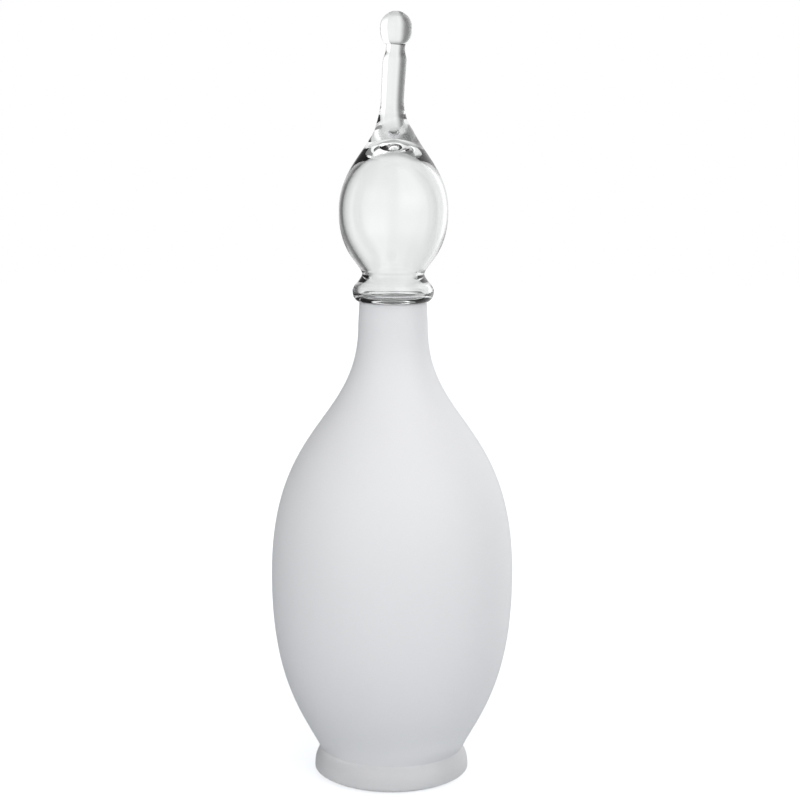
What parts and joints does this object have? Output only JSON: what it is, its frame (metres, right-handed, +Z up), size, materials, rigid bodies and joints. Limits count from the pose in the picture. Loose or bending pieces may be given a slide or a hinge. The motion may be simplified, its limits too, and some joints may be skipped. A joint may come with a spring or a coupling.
{
  "type": "genie bottle",
  "caption": "Tall frosted glass bottle with a pear-shaped body on a round foot and a clear hollow lift-out stopper ending in a thin rod and a ball.",
  "frame": {"origin": "centre of the ring that the foot stands on, at table height", "axes": "+Z up the bottle's axis towards the ball; +X to the viewer's right in the pictured view; the viewer looks along +Y"},
  "size_m": [0.1336, 0.1336, 0.42],
  "materials": {
    "frosted_glass": "acid-frosted outside, satin",
    "frosted_foot_glass": "thick frosted pad, ground underneath",
    "clear_glass": "fire-polished, clear",
    "ground_glass": "ground taper, fine matt"
  },
  "bodies": {
    "bottle": {"foot": "frosted_foot_glass", "bottle_body": "frosted_glass"},
    "stopper": {"stopper_plug": "ground_glass", "stopper_collar": "clear_glass", "stopper_bulb": "clear_glass", "finial_rod": "clear_glass", "finial_ball": "clear_glass"}
  },
  "joints": [
    {"name": "stopper_lift", "type": "slide", "parent": "bottle", "child": "stopper", "axis": [0, 0, 1], "range_m": [0, 0.12]}
  ]
}
